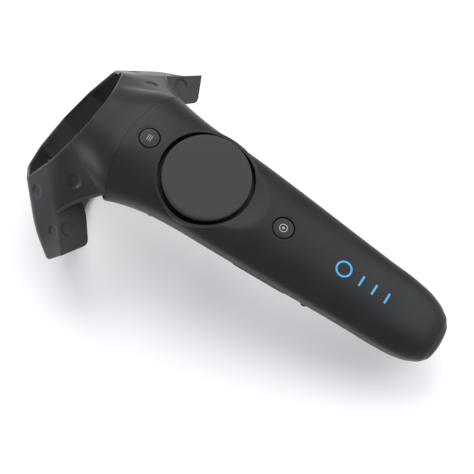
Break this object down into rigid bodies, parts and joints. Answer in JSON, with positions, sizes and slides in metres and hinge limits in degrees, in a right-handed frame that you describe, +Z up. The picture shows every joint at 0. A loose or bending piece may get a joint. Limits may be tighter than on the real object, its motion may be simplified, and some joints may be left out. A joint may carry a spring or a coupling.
{
  "type": "vr motion controller",
  "caption": "Wand-type motion controller: tapered handle with a round trackpad, round keys, side grips and a trigger, and an open polygonal tracking ring with swept-back wings.",
  "frame": {"origin": "on the table under the middle of the controller's outline, at rest", "axes": "+Y along the handle towards the ring, +Z up from the table, +X to the right hand"},
  "size_m": [0.1168, 0.2154, 0.0798],
  "materials": {
    "shell": "soft-touch satin black moulding",
    "inner_shell": "fine matt black moulding",
    "touchpad": "fine-grained dark grey touch surface",
    "key": "satin black key with a pale icon",
    "trigger": "semi-gloss black",
    "steel": "plain steel",
    "screw_steel": "black zinc",
    "board": "green solder mask",
    "flex": "amber polyimide",
    "chip": "moulded chip package",
    "frame_plastic": "glass-filled structural plastic",
    "cell": "laminated pouch cell",
    "motor": "nickel-plated can",
    "magnet": "nickel-plated magnet",
    "light": "clear light pipe"
  },
  "bodies": {
    "body": {"handle_top_cover": "shell", "handle_bottom_cover": "shell", "handle_screws": "screw_steel", "ring_outer_cover": "shell", "ring_inner_cover": "inner_shell", "ring_frame": "frame_plastic", "ring_screws": "screw_steel", "tracking_sensors": "board", "sensor_flex": "flex", "trackpad_switch": "steel", "menu_board": "board", "menu_switch": "steel", "system_switch": "steel", "led_light_pipe": "light", "trigger_pin": "steel", "trigger_spring": "steel", "trigger_bracket": "frame_plastic", "trigger_sensor": "chip", "trigger_click_switch": "chip", "grip_switches": "steel", "main_board": "board", "board_chips": "chip", "battery": "cell", "battery_bracket": "frame_plastic", "usb_connector": "steel", "usb_board": "board"},
    "trackpad": {"trackpad_disc": "touchpad", "trackpad_board": "board", "trackpad_carrier": "frame_plastic", "haptic_actuator": "motor"},
    "menu_key": {"menu_button": "key"},
    "system_key": {"system_button": "key"},
    "trigger_lever": {"trigger": "trigger", "trigger_magnet": "magnet"},
    "grip_key_right": {"grip_button_right": "key"},
    "grip_key_left": {"grip_button_left": "key"}
  },
  "joints": [
    {"name": "trackpad_press", "type": "slide", "parent": "body", "child": "trackpad", "axis": [0, 0.2924, -0.9563], "range_m": [0, 0.0005], "stiffness_N_per_m": 1500, "springref_m": -0.0008},
    {"name": "menu_press", "type": "slide", "parent": "body", "child": "menu_key", "axis": [0, 0.2924, -0.9563], "range_m": [0, 0.0005], "stiffness_N_per_m": 1200, "springref_m": -0.0006},
    {"name": "system_press", "type": "slide", "parent": "body", "child": "system_key", "axis": [0, 0.2924, -0.9563], "range_m": [0, 0.0005], "stiffness_N_per_m": 1200, "springref_m": -0.0006},
    {"name": "trigger_pull", "type": "hinge", "parent": "body", "child": "trigger_lever", "pos_m": [0, 0.03543, 0.05145], "axis": [-1, 0, 0], "range_deg": [0, 16], "stiffness_Nm_per_rad": 0.15, "springref_deg": -28.65},
    {"name": "grip_right_press", "type": "slide", "parent": "body", "child": "grip_key_right", "axis": [-1, 0, 0], "range_m": [0, 0.0008], "stiffness_N_per_m": 1500, "springref_m": -0.0008},
    {"name": "grip_left_press", "type": "slide", "parent": "body", "child": "grip_key_left", "axis": [1, 0, 0], "range_m": [0, 0.0008], "stiffness_N_per_m": 1500, "springref_m": -0.0008}
  ]
}
